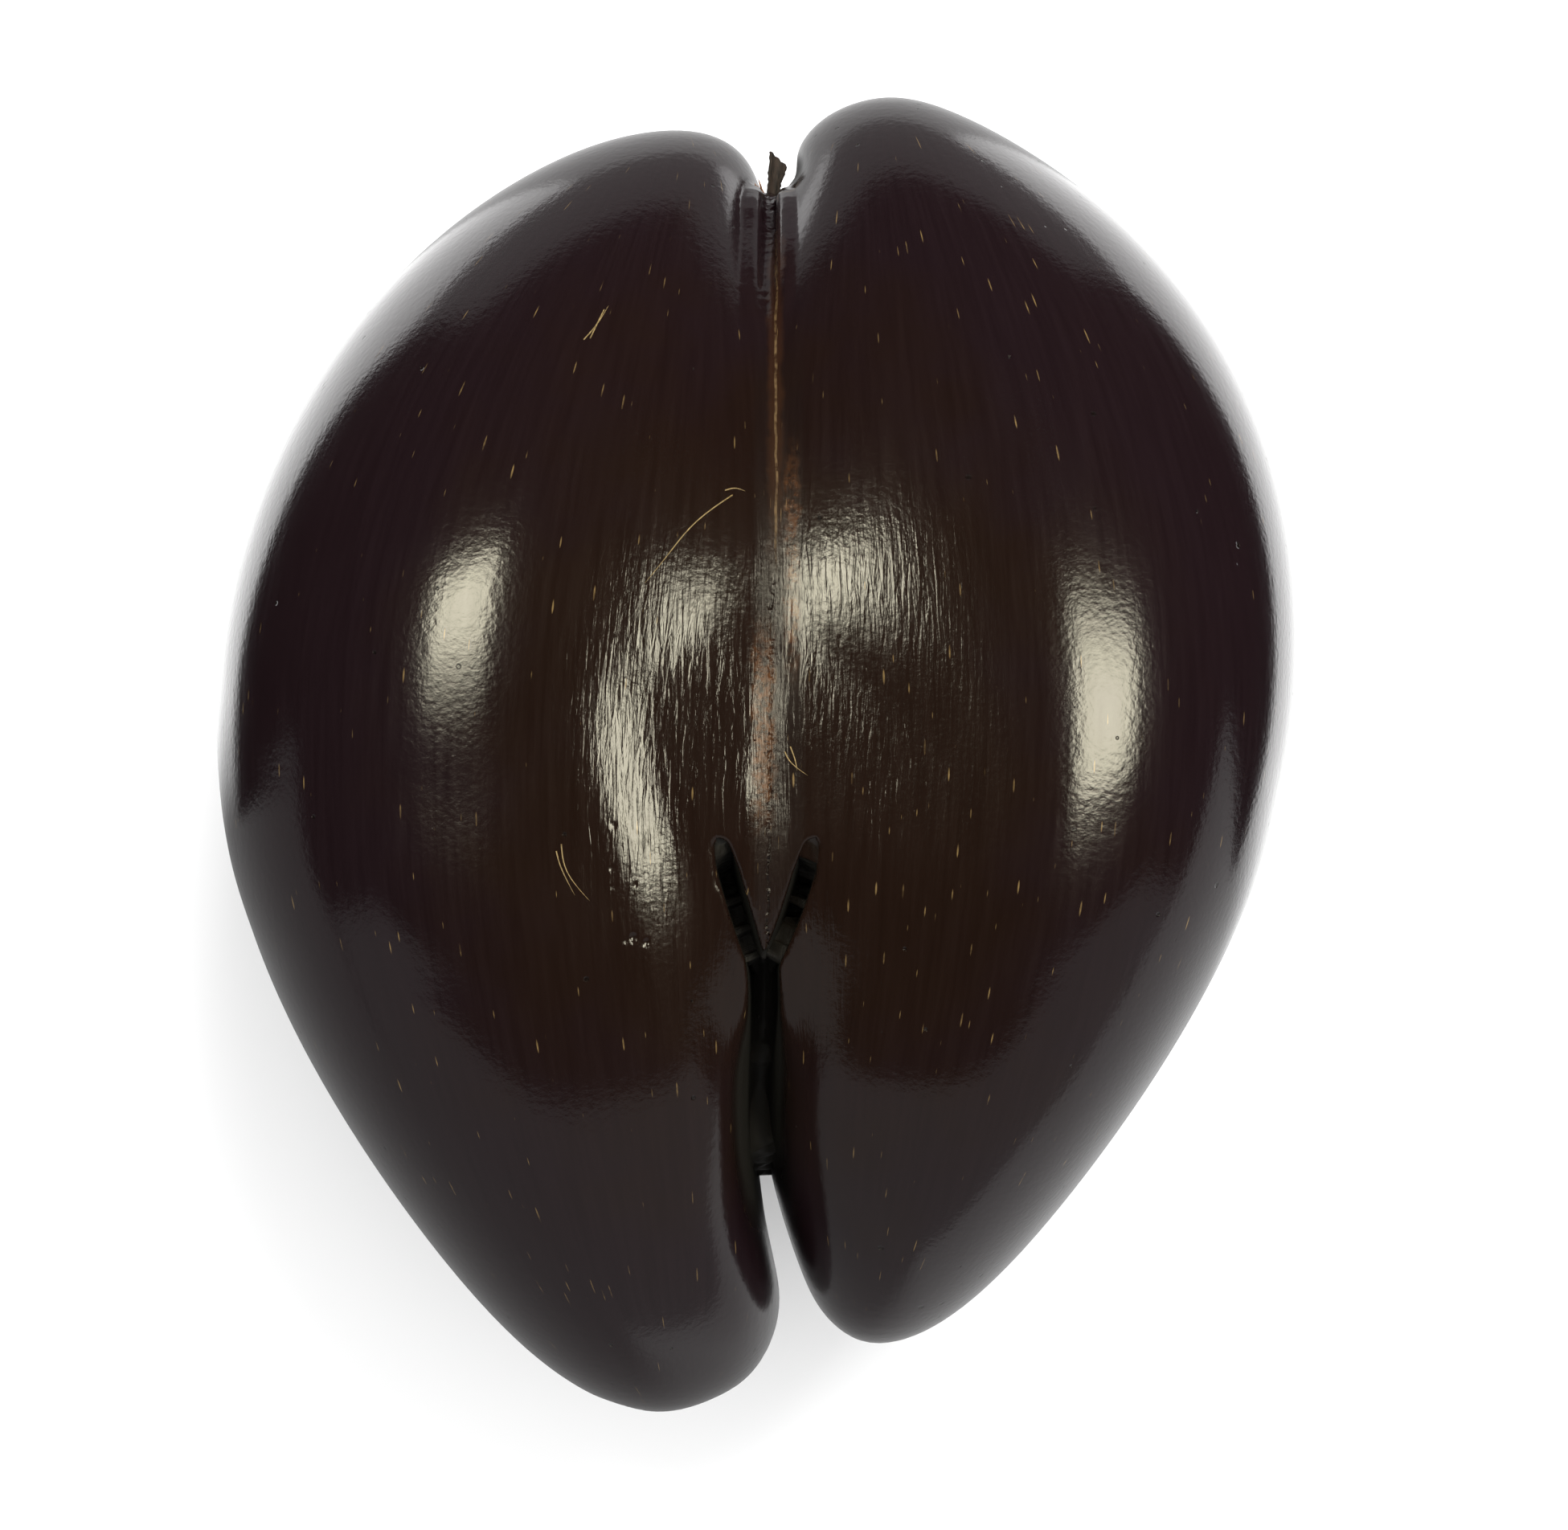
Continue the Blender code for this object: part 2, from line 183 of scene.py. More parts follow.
def lobe_distance(points, shape, step=0.05):
    level = lobe_level(points, shape)
    slope = np.zeros(len(points))
    for axis in range(3):
        moved = points.copy()
        moved[:, axis] += step
        slope += ((lobe_level(moved, shape) - level) / step) ** 2
    return level / np.maximum(np.sqrt(slope), 0.002)


# %% [markdown]
# ## The valley down the front
# The lobes don't meet in a sharp crease. They swell into each other in the
# middle and part towards the top and the tips, with a soft shoulder on the left
# and a shallow crease along the seam.

# %% Valley
CREASE_BLEND, BACK_BLEND = 3.0, 6.0
FRONT_BLEND_Y = (-100, -70, -45, -15, 5, 25, 45, 80, 130)
FRONT_BLEND = bends(FRONT_BLEND_Y, (3, 10, 25, 32, 26, 10, 6, 5, 3))
FLANK_Y = (-75, -51, -28, -11, 7, 25, 36, 60)
FLANK_X = bends(FLANK_Y, (-8, -12.5, -20, -26.5, -29.5, -25, -19, -12))
FLANK_DEPTH, FLANK_WIDTH, HOLLOW_DEPTH = 3.0, 24.0, 2.8
SEAM_X, SEAM_DEPTH, SEAM_WIDTH = 3.0, 0.8, 12.0


def joined_lobes(points):
    y, z = points[:, 1], points[:, 2]
    front = np.maximum(spline(np.clip(y, -100, 130), FRONT_BLEND_Y, FRONT_BLEND), CREASE_BLEND)
    back = CREASE_BLEND + BACK_BLEND * smoother(y, -90, -40) * (1 - smoother(y, 100, 130))
    radius = back + (front - back) * smoother(z, -20, 30)
    return smooth_min(lobe_distance(points, LEFT_LOBE), lobe_distance(points, RIGHT_LOBE), radius)


def valley_depth(points):
    x, y, z = points.T
    flank = spline(np.clip(y, -80, 65), FLANK_Y, FLANK_X)
    left = FLANK_DEPTH * smoother(x - flank, -FLANK_WIDTH / 2, FLANK_WIDTH / 2)
    left *= 1 - smoother(y, -5 - 20 * smoother(x, -8, 18), 30)
    left *= (1 - smoother(x, SEAM_X - 4, 25)) * smoother(y, -95, -55)
    right = HOLLOW_DEPTH * smoother(x, -5, 12) * (1 - smoother(x, 28, 80))
    right *= (1 - smoother(y, -20, 48)) * smoother(y, -85, -40)
    crease = SEAM_DEPTH * np.clip(1 - np.sqrt((x - SEAM_X) ** 2 + 4) / SEAM_WIDTH, 0, 1) ** 1.3
    crease *= (1 - smoother(y, 60, 105)) * smoother(y, -5, 40)
    return (left + right + crease) * smoother(z, 20, 45)


# %% [markdown]
# ## Slot, slits and strap
# Between the lower lobes a slot runs in from the front and the back to a thin
# web. Its head splits into two slits round a small tongue. In the top notch a
# strap of two low ridges bridges the lobes.

# %% Slot and slits
SLOT_STATIONS, SLOT_PATH = (-128, -112, -95, -75, -47), (10.0, 5.4, 1.7, 0.7, 1.5)
SLOT_HALF_WIDTH, SLOT_FLARE, SLOT_TOP = 1.3, 0.034, -45.0
WEB_CENTRE, WEB_REACH, WEB_FRONT, WEB_BACK, WEB_FILLET = -30.0, 55.5, 42.0, 60.0, 10.0
SLIT_TOP, SLIT_END, SLIT_STATIONS = -18.2, -49.0, (-18.6, -33.0, -46.0)
LEFT_SLIT, RIGHT_SLIT = (-8.6, -4.8, -0.4), (13.1, 9.0, 3.4)
SLIT_HALF_WIDTH, SLIT_FLOOR = 1.55, (63.5, 52.5, 44.0)


def slot(points):
    x, y, z = points.T
    centre = np.polyval(through(SLOT_STATIONS, SLOT_PATH), np.clip(y, -128, -47))
    half = SLOT_HALF_WIDTH + SLOT_FLARE * abs(z) + 0.05 * np.clip(-95 - y, 0, 33)
    web = np.where(z > 0, WEB_FRONT, WEB_BACK)
    outside_web = (np.sqrt(((y - WEB_CENTRE) / WEB_REACH) ** 2 + (z / web) ** 2) - 1) * 55
    return smooth_max(smooth_max(abs(x - centre) - half, -outside_web, WEB_FILLET), y - SLOT_TOP, 1.5)


def slit(points, path, tongue_side):
    x, y, z = points.T
    offset = x - np.polyval(through(SLIT_STATIONS, path), np.clip(y, -50, -15))
    share = np.clip((SLIT_TOP - y) / (SLIT_TOP - SLIT_END), 0, 1)
    half = SLIT_HALF_WIDTH * np.sqrt(np.clip(share * 4, 0, 1))
    half += 0.15 * np.clip(z - 58, 0, 12) * (offset * tongue_side > 0)
    floor = np.polyval(through(SLIT_STATIONS, SLIT_FLOOR), np.clip(y, -50, -15))
    hollow = smooth_max(abs(offset) - half, floor - z, 1.5)
    return smooth_max(hollow, np.maximum(y - SLIT_TOP, SLIT_END - y), 2.0)


# %% [markdown]
# ## The strap in the notch
# Two low ridges of shell bridge the lobes at the top. Each is a chain of short
# capsules along a bent path, which gives a rounded ridge, and they blend softly
# into the lobes.

# %% Strap in the notch
RIDGE_Y = (126.4, 126.4, 124.8, 118.0, 110.0, 97.0, 82.0)
RIDGE_Z = ((-14, 2, 15, 23.2, 31.4, 42.9, 50.5), (-14, 0, 12, 21, 30, 42, 50),
           (-14, 4, 18.2, 27.8, 36.2, 46.2, 52.0))
RIDGE_X, RIDGE_RADIUS = (-1.5, 2.8, 7.0), (3.0, 1.6, 2.7)
RIDGE_BLEND = 1.2


def ridge_path(x, heights):
    spots = np.linspace(0, 1, len(RIDGE_Y))
    along = np.linspace(0, 1, 19)
    y = spline(along, spots, bends(spots, RIDGE_Y))
    z = spline(along, spots, bends(spots, heights))
    return np.column_stack([np.full(len(along), x), y, z])


def capsule_chain(points, path, radius):
    nearest = np.full(len(points), 1e3)
    for start, end in zip(path[:-1], path[1:]):
        run = end - start
        share = np.clip((points - start) @ run / (run @ run), 0, 1)
        gap = points - start - share[:, None] * run
        nearest = np.minimum(nearest, np.sqrt((gap * gap).sum(axis=1)))
    return nearest - radius


# %% [markdown]
# ## Slight swells
# The real form isn't quite regular. A swell on the left shoulder and a shallow
# dip right of the seam are less than a millimetre high, but the reflections bend
# over them.

# %% Swells too slight for the CAD
SWELLS = ((-20, -66, 14, 0.9), (19, 0, 13, -0.8))


def swell(points):
    x, y, z = points.T
    return sum(height * np.exp(-((x - at_x) ** 2 + (y - at_y) ** 2) / (2 * spread ** 2))
               for at_x, at_y, spread, height in SWELLS) * smoother(z, 20, 45)


# %% [markdown]
# ## The whole shell
# One formula joins the lobes, the valley, the strap, the slot and the slits. The
# edges of the slot roll in softly near the front, where hands and cloth reached.
# Beside the flake in the notch the right lobe's wall is drawn in a little.

# %% The whole shell
TIP_FLAT_NORMAL, TIP_FLAT_DISTANCE = (-0.300, -0.954), 150.5
NOTCH_RELIEF, NOTCH_WALL_X, NOTCH_WALL_Y = 2.0, 8, 132
NOTCH_WALL_SPREAD, NOTCH_WALL_HEIGHT = 18, 17


def shell(points):
    field = joined_lobes(points) + valley_depth(points) - swell(points)
    x, y, z = points.T
    notch = (y > 76) & (abs(x - 3) < 20)
    for centre, heights, radius in zip(RIDGE_X, RIDGE_Z, RIDGE_RADIUS):
        ridge = capsule_chain(points[notch], ridge_path(centre, heights), radius)
        field[notch] = smooth_min(field[notch], ridge, RIDGE_BLEND)
    beside = ((x - NOTCH_WALL_X) ** 2 + (y - NOTCH_WALL_Y) ** 2) / NOTCH_WALL_SPREAD
    beside = beside + (z / NOTCH_WALL_HEIGHT) ** 2
    field += NOTCH_RELIEF * np.exp(-beside)
    low = y < -30
    roll = 1.0 + 5 * smoother(-y[low], 48, 75) * smoother(abs(z[low]), 8, 45)
    field[low] = smooth_max(field[low], -slot(points[low]), roll)
    middle = (y < -10) & (y > -60) & (z > 40)
    for path, tongue_side in ((LEFT_SLIT, 1), (RIGHT_SLIT, -1)):
        field[middle] = smooth_max(field[middle], -slit(points[middle], path, tongue_side), 0.8)
    tip = TIP_FLAT_NORMAL[0] * x + TIP_FLAT_NORMAL[1] * y - TIP_FLAT_DISTANCE
    return smooth_max(field, tip, 0.4)


# %% [markdown]
# ## A finer skin
# A copy of the CAD's mesh is merged, the flake is cut off it (it comes back as a
# thin piece of its own), and a voxel remesh gives even quads. Then each vertex
# is moved along the field's slope until the field is zero there, so the skin
# lies on the CAD's own surface, but smoothly. Where the photograph shows small
# forms, along the seam, at the tongue and in the notch, the quads are split
# again before the next move.

# %% Pull a mesh onto the field
def places_of(mesh):
    flat = np.empty(len(mesh.vertices) * 3)
    mesh.vertices.foreach_get("co", flat)
    return flat.reshape(-1, 3) / MM - FRAME_SHIFT


def put_places(mesh, places):
    places = (places + FRAME_SHIFT) * MM
    places[:, 2] = np.maximum(places[:, 2], 0)
    mesh.vertices.foreach_set("co", places.ravel())
    mesh.update()


def settle(mesh, field, rounds=3, reach=1.0):
    places = places_of(mesh)
    for _ in range(rounds):
        value = field(places)
        slope = np.empty_like(places)
        for axis in range(3):
            moved = places.copy()
            moved[:, axis] += 0.02
            slope[:, axis] = (field(moved) - value) / 0.02
        size = np.maximum((slope ** 2).sum(axis=1), 0.05)
        move = -(value / size)[:, None] * slope
        length = np.maximum(np.sqrt((move ** 2).sum(axis=1)), 1e-6)
        places = places + move * np.minimum(1, reach / length)[:, None]
    put_places(mesh, places)


# %% Copy, merge and remesh
FLAKE_CUT_Y, FLAKE_CUT_X, FLAKE_CUT_Z = 129.3, (1.0, 6.35), (89.6, 93.2)
SKIN_VOXEL = 2.05

skin = bmesh.new()
skin.from_mesh(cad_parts["nut"].data)
bmesh.ops.remove_doubles(skin, verts=skin.verts, dist=1e-7)
flake_verts = [v for v in skin.verts if v.co.y / MM > FLAKE_CUT_Y
               and FLAKE_CUT_X[0] < v.co.x / MM < FLAKE_CUT_X[1]
               and FLAKE_CUT_Z[0] < v.co.z / MM < FLAKE_CUT_Z[1]]
bmesh.ops.delete(skin, geom=flake_verts, context="VERTS")
bmesh.ops.holes_fill(skin, edges=[e for e in skin.edges if e.is_boundary])
nut_mesh = bpy.data.meshes.new("seed_shell")
skin.to_mesh(nut_mesh)
skin.free()

nut = bpy.data.objects.new("seed_shell", nut_mesh)
bpy.context.scene.collection.objects.link(nut)
remesh = nut.modifiers.new("even quads", "REMESH")
remesh.mode = "VOXEL"
remesh.voxel_size = SKIN_VOXEL * MM
evaluated = nut.evaluated_get(bpy.context.evaluated_depsgraph_get())
nut_mesh = bpy.data.meshes.new_from_object(evaluated)
nut.modifiers.clear()
nut.data = nut_mesh
settle(nut_mesh, shell)
print("flake verts cut", len(flake_verts), "quads", len(nut_mesh.polygons))


# %% [markdown]
# ## Finer quads where the forms are fine
# Half the edge length gives four times the quads, so only the parts chosen by the
# wanted function are split, and the new vertices are pulled onto the field too.

# %% Split the quads where small forms are
def refine(mesh, wanted, field):
    inside = wanted(*places_of(mesh).T)
    body = bmesh.new()
    body.from_mesh(mesh)
    edges = [e for e in body.edges if inside[e.verts[0].index] and inside[e.verts[1].index]]
    bmesh.ops.subdivide_edges(body, edges=edges, cuts=1, use_grid_fill=True)
    body.to_mesh(mesh)
    body.free()
    settle(mesh, field, rounds=2)
    print("faces after a split", len(mesh.polygons))


def within(value, low, high):
    return (value > low) & (value < high)


# %% [markdown]
# ## Crack and pits
# A hairline crack runs down the middle to the tongue, and the left shoulder has
# small pits, some of them old insect holes that the sanding opened. Both are
# real hollows in the mesh, so they catch the light from any side.

# %% Crack and pits
CRACK_Y, CRACK_X = (-44.0, 42.0), (2.3, 3.6)
CRACK_DEPTH, CRACK_HALF_WIDTH, FRONT_Z = 0.55, 0.3, 40
BIG_PITS = ((-26.6, -39.8, 0.75), (-23.8, -40.8, 0.6), (-28.2, -40.4, 0.45))
dice = random.Random(7)
small_pits = []
for _ in range(5):
    down = dice.uniform(0, 1)
    small_pits.append((-31.5 + 8 * down + dice.uniform(-3.2, 3.2), -13 - 36 * down,
                      dice.uniform(0.32, 0.5)))


def crack_middle(y):
    share = (y - CRACK_Y[0]) / (CRACK_Y[1] - CRACK_Y[0])
    wander = 0.16 * np.sin(y * 0.55) + 0.1 * np.sin(y * 1.3 + 1) + 0.06 * np.sin(y * 2.9)
    return CRACK_X[0] + (CRACK_X[1] - CRACK_X[0]) * share + wander


def worn_shell(points):
    field = shell(points)
    x, y, z = points.T
    crack = CRACK_DEPTH * np.clip(1 - (abs(x - crack_middle(y)) / CRACK_HALF_WIDTH) ** 2, 0, 1)
    crack *= smoother(y, CRACK_Y[0] - 2, CRACK_Y[0] + 4) * (1 - smoother(y, CRACK_Y[1] - 8, CRACK_Y[1]))
    field += crack * (z > FRONT_Z)
    near = within(x, -38, -16) & within(y, -54, -8) & (z > FRONT_Z)
    for pit_x, pit_y, radius in (*BIG_PITS, *small_pits):
        away = np.hypot(x[near] - pit_x, (y[near] - pit_y) * 0.8) / radius
        field[near] += radius * 0.7 * np.exp(-away ** 4)
    return field


refine(nut_mesh, lambda x, y, z: (z > 20) & (abs(x - 3) < 15) & within(y, -60, 100)
       | (z > -15) & (abs(x - 3) < 11) & (y >= 96)
       | (z > 20) & within(x, -37, -17) & within(y, -53, -9), shell)
refine(nut_mesh, lambda x, y, z: (z > 40) & (abs(x - 3) < 2.6) & within(y, -16, 100)
       | (z > 0) & (abs(x - 3) < 8) & (y > 104)
       | (z > 42) & (abs(x - 2.5) < 11) & within(y, -52, -15)
       | (z > 20) & within(x, -34.5, -19) & within(y, -51.5, -11), worn_shell)
refine(nut_mesh, lambda x, y, z: (z > 40) & (abs(x - crack_middle(y)) < 0.9) & within(y, -46, 43),
       worn_shell)
triangles = sum(len(p.vertices) - 2 for p in nut_mesh.polygons)
print("shell triangles", triangles)

# %% [markdown]
# ## Fibre coordinates
# The fibres of the shell run from the notch to the tips round each lobe, like
# meridians. Each vertex gets its distance across the fibres and along them, in
# millimetres, so that a pattern can follow the shell round to the back.

# %% Fibre coordinates as an attribute
GIRTH_RADIUS = 76.0
SEAM_ANGLE = 0.75


def meridian(places, shape):
    x, y, z = places.T
    t = np.clip((y - shape["middle"]) / shape["half"], -1, 1)
    return np.arctan2(x - np.polyval(shape["spine"], t), z - np.polyval(shape["lift"], t))


def add_fibre_coordinates(mesh):
    places = places_of(mesh)
    left = meridian(places, LEFT_LOBE) - SEAM_ANGLE
    right = meridian(places, RIGHT_LOBE) + SEAM_ANGLE
    share = smoother(places[:, 0], SEAM_X - 5, SEAM_X + 5)
    across = GIRTH_RADIUS * (left + (right - left) * share)
    fibre = np.column_stack([across, places[:, 1], places[:, 2]])
    layer = mesh.attributes.new("fibre", "FLOAT_VECTOR", "POINT")
    layer.data.foreach_set("vector", fibre.ravel())
    hidden = np.clip(-joined_lobes(places) - valley_depth(places) + swell(places), 0, 20)
    layer = mesh.attributes.new("cavity", "FLOAT", "POINT")
    layer.data.foreach_set("value", hidden)


add_fibre_coordinates(nut_mesh)
for polygon in nut_mesh.polygons:
    polygon.use_smooth = True

# %% [markdown]
# ## Colour helpers
# Screen colours are written as hex. Blender mixes light in linear values, so one
# function turns hex into linear. One more adds a shader node with its settings
# and its links.

# %% Colour and node helpers
SMOOTH, COLOURS = {"interpolation_type": "SMOOTHSTEP"}, {"data_type": "RGBA"}


def linear(code):
    parts = [int(code[k:k + 2], 16) / 255 for k in (0, 2, 4)]
    return tuple(p / 12.92 if p <= 0.04045 else ((p + 0.055) / 1.055) ** 2.4 for p in parts) + (1.0,)


def add(tree, kind, settings=None, **inputs):
    node = tree.nodes.new("ShaderNode" + kind)
    for name, value in (settings or {}).items():
        setattr(node, name, value)
    for name, value in inputs.items():
        key = int(name[1:]) if name[1:].isdigit() else name.replace("_", " ")
        socket = node.inputs[key]
        if isinstance(value, bpy.types.Node):
            value = value.outputs[0]
        if isinstance(value, bpy.types.NodeSocket):
            tree.links.new(value, socket)
        else:
            socket.default_value = value
    return node


def new_material(name):
    material = bpy.data.materials.new(name)
    material.use_nodes = True
    tree = material.node_tree
    tree.nodes.clear()
    return material, tree, tree.nodes.new("ShaderNodeOutputMaterial")


# %% [markdown]
# ## Polished palm shell
# The shell is hard as vegetable ivory, nearly black, and was sanded and waxed.
# A dielectric with the usual index of 1.5 and a low roughness gives the tight
# highlights. Fibres show as a slow change of brown, and as short flecks where
# the sanding cut them.

# %% Shell material: coordinates and masks
shell_finish, tree, output = new_material("polished_palm_shell")
fibre = add(tree, "Attribute", {"attribute_name": "fibre"}).outputs["Vector"]
place = add(tree, "TexCoord").outputs["Object"]
place_mm = add(tree, "Mapping", Vector=place, Scale=(1000, 1000, 1000)).outputs["Vector"]
axes = add(tree, "SeparateXYZ", Vector=place_mm)
x_mm, y_mm, z_mm = axes.outputs["X"], axes.outputs["Y"], axes.outputs["Z"]
front_mask = add(tree, "MapRange", SMOOTH, Value=z_mm, From_Min=105, From_Max=128).outputs[0]

# %% [markdown]
# ### Brown
# The polish lets the eye see a little way into the shell, which is a shade warmer
# in the middle. Long streaks of noise, drawn out along the fibres, keep it alive.

# %% Shell material: brown
SHELL_COOL, SHELL_WARM = linear("150c0e"), linear("160c07")
STREAK_WIDTH, STREAK_LENGTH = 1.6, 26.0

from_middle = add(tree, "Mapping", Vector=place_mm, Location=(-4, 0, -160), Scale=(1.0, 0.75, 1.0))
reach = add(tree, "VectorMath", {"operation": "LENGTH"}, _0=from_middle).outputs["Value"]
cloud = add(tree, "TexNoise", Vector=place_mm, Scale=0.035, Detail=3.0).outputs["Fac"]
cloudy_reach = add(tree, "Math", {"operation": "MULTIPLY_ADD"}, _0=cloud, _1=-70, _2=reach)
warm_middle = add(tree, "MapRange", SMOOTH, Value=cloudy_reach, From_Min=65, From_Max=5)
base = add(tree, "Mix", COLOURS, _0=warm_middle, _6=SHELL_COOL, _7=SHELL_WARM).outputs[2]
streak_space = add(tree, "Mapping", Vector=fibre,
                   Scale=(1 / STREAK_WIDTH, 1 / STREAK_LENGTH, 1 / STREAK_LENGTH))
streaks = add(tree, "TexNoise", Vector=streak_space, Scale=1.0, Detail=5.0,
              Roughness=0.6).outputs["Fac"]
streak_light = add(tree, "MapRange", Value=streaks, From_Min=0.3, From_Max=0.7, To_Min=0.88,
                   To_Max=1.14).outputs[0]
base = add(tree, "VectorMath", {"operation": "SCALE"}, _0=base, Scale=streak_light)

# %% [markdown]
# ### Flecks
# Where sanding cut a fibre bundle, its pale inside shows as a short dash along the
# fibres. Cells stretched the same way give one dash each, most of them right of
# the seam.

# %% Shell material: flecks where the sanding cut a fibre
FLECK = linear("6f5a36")
FLECK_WIDTH, FLECK_LENGTH, FLECK_ROOM = 0.32, 2.6, 8.5

fleck_space = add(tree, "Mapping", Vector=fibre, Scale=(1 / FLECK_WIDTH, 1 / FLECK_LENGTH, 0))
cells = add(tree, "TexVoronoi", {"voronoi_dimensions": "2D"}, Vector=fleck_space, Scale=1 / FLECK_ROOM,
            Randomness=1.0)
dense_place = add(tree, "Mapping", Vector=place_mm, Location=(-30, 18, -150), Scale=(1.0, 0.8, 1.0))
dense_reach = add(tree, "VectorMath", {"operation": "LENGTH"}, _0=dense_place).outputs["Value"]
bare = add(tree, "MapRange", SMOOTH, Value=dense_reach, From_Min=25, From_Max=60, To_Min=0.15,
           To_Max=0.62)
fleck_kind = add(tree, "SeparateXYZ", _0=cells.outputs["Color"])
fleck_size = add(tree, "MapRange", Value=fleck_kind, From_Min=bare, From_Max=1.0, To_Min=0.0,
                 To_Max=0.085)
fleck_gap = add(tree, "Math", {"operation": "SUBTRACT"}, _0=fleck_size, _1=cells.outputs["Distance"])
flecks = add(tree, "MapRange", Value=fleck_gap, From_Min=0.0, From_Max=0.03)
worn = add(tree, "TexNoise", Vector=place_mm, Scale=0.3).outputs["Fac"]
fleck_share = add(tree, "MapRange", Value=worn, From_Min=0.35, From_Max=0.65, To_Min=0.1, To_Max=0.75)
flecks = add(tree, "Math", {"operation": "MULTIPLY"}, _0=flecks, _1=fleck_share)
base = add(tree, "Mix", COLOURS, _0=flecks, _6=base, _7=FLECK).outputs[2]

# %% [markdown]
# ### The seam
# The lobes grew together along the seam. The shell there is thin and
# orange-brown in patches, with a thin broken pale line above. Bands measured from
# the seam, wavered by noise, paint it.

# %% Shell material: the seam
SEAM_ORANGE, SEAM_LINE = linear("47290f"), linear("6a5638")


def band(value, centre, half, soft):
    """1 within the half width of a centre, fading to 0 over the soft width."""
    away = add(tree, "Math", {"operation": "SUBTRACT"}, _0=value, _1=centre)
    away = add(tree, "Math", {"operation": "ABSOLUTE"}, _0=away)
    return add(tree, "MapRange", SMOOTH, Value=away, From_Min=half + soft, From_Max=half)


def overlap(*masks):
    """1 only where every mask is 1. A plain number among them weakens the whole."""
    shared = masks[0]
    for mask in masks[1:]:
        shared = add(tree, "Math", {"operation": "MULTIPLY"}, _0=shared, _1=mask)
    return shared


wander = add(tree, "TexNoise", Vector=place_mm, Scale=0.22, Detail=4.0).outputs["Fac"]
patches = add(tree, "TexNoise", Vector=place_mm, Scale=0.5, Detail=5.0, Roughness=0.65).outputs["Fac"]
seam_x = add(tree, "Math", {"operation": "MULTIPLY_ADD"}, _0=wander, _1=3.0, _2=x_mm)
patchy = add(tree, "MapRange", Value=patches, From_Min=0.4, From_Max=0.62, To_Min=0.05, To_Max=1.0)
left_strip = overlap(band(seam_x, 3.1, 1.2, 2.0), band(y_mm, 6, 10, 16), patchy)
right_strip = overlap(band(seam_x, 9.2, 0.6, 1.6), band(y_mm, 42, 14, 16), patchy, 0.7)
high_strip = overlap(band(seam_x, 5.6, 0.7, 1.6), band(y_mm, 85, 22, 30), 0.2)
orange = add(tree, "Math", {"operation": "ADD", "use_clamp": True}, _0=left_strip, _1=right_strip)
orange = add(tree, "Math", {"operation": "MAXIMUM"}, _0=orange, _1=high_strip)
base = add(tree, "Mix", COLOURS, _0=overlap(orange, front_mask), _6=base, _7=SEAM_ORANGE).outputs[2]

line_wander = add(tree, "TexNoise", Vector=place_mm, Scale=0.12, Detail=2.0).outputs["Fac"]
line_x = add(tree, "Math", {"operation": "MULTIPLY_ADD"}, _0=line_wander, _1=1.2, _2=x_mm)
broken = add(tree, "MapRange", Value=patches, From_Min=0.4, From_Max=0.6, To_Min=0.05, To_Max=0.6)
line = overlap(band(line_x, 4.8, 0.12, 0.25), band(y_mm, 82, 30, 14), broken, front_mask)
base = add(tree, "Mix", COLOURS, _0=line, _6=base, _7=SEAM_LINE).outputs[2]

# %% [markdown]
# ### Fine relief
# Waxed fibres stand out as wavy grooves in the middle, and the sides are faintly
# dimpled like orange peel, with scattered pores. These are tenths of a millimetre,
# so they bend the light in the material and not in the mesh.
# The pore bottoms are also painted darker, which is painted shade in the pits.

# %% Shell material: relief too fine for the mesh
PEEL, GROOVE_WIDTH, GROOVE_LENGTH, PORE_ROOM = 1.5, 1.0, 10.0, 4.6
PORE_PAINTED_SHADE = linear("0c0806")

peel = add(tree, "TexNoise", Vector=place_mm, Scale=1 / PEEL, Detail=3.0, Roughness=0.55).outputs["Fac"]
groove_space = add(tree, "Mapping", Vector=fibre,
                   Scale=(1 / GROOVE_WIDTH, 1 / GROOVE_LENGTH, 1 / GROOVE_LENGTH))
grooves = add(tree, "TexNoise", Vector=groove_space, Scale=1.0, Detail=3.0,
              Distortion=0.7).outputs["Fac"]
groove_reach = add(tree, "MapRange", SMOOTH, Value=reach, From_Min=62, From_Max=25, To_Min=0.05,
                   To_Max=1.0)
grooves = add(tree, "Math", {"operation": "MULTIPLY"}, _0=grooves, _1=groove_reach)
pores = add(tree, "TexVoronoi", Vector=place_mm, Scale=1 / PORE_ROOM, Randomness=1.0)
pore_kind = add(tree, "SeparateXYZ", _0=pores.outputs["Color"])
pored = add(tree, "MapRange", SMOOTH, Value=z_mm, From_Min=140, From_Max=105, To_Min=0.9, To_Max=0.35)
pore_size = add(tree, "MapRange", Value=pore_kind, From_Min=pored, From_Max=1.0, To_Min=0.0,
                To_Max=0.16)
pore = add(tree, "Math", {"operation": "SUBTRACT"}, _0=pore_size, _1=pores.outputs["Distance"])
pore = add(tree, "MapRange", SMOOTH, Value=pore, From_Min=0.0, From_Max=0.04)
peel_bump = add(tree, "Bump", Height=peel, Strength=1.0, Distance=0.00006)
groove_bump = add(tree, "Bump", Height=grooves, Strength=1.0, Distance=0.00018, Normal=peel_bump)
pore_bump = add(tree, "Bump", {"invert": True}, Height=pore, Strength=1.0, Distance=0.0003,
                Normal=groove_bump)
# Painted shade: the pore pits are mixed towards a near-black colour.
base = add(tree, "Mix", COLOURS, _0=overlap(pore, 0.8), _6=base, _7=PORE_PAINTED_SHADE).outputs[2]
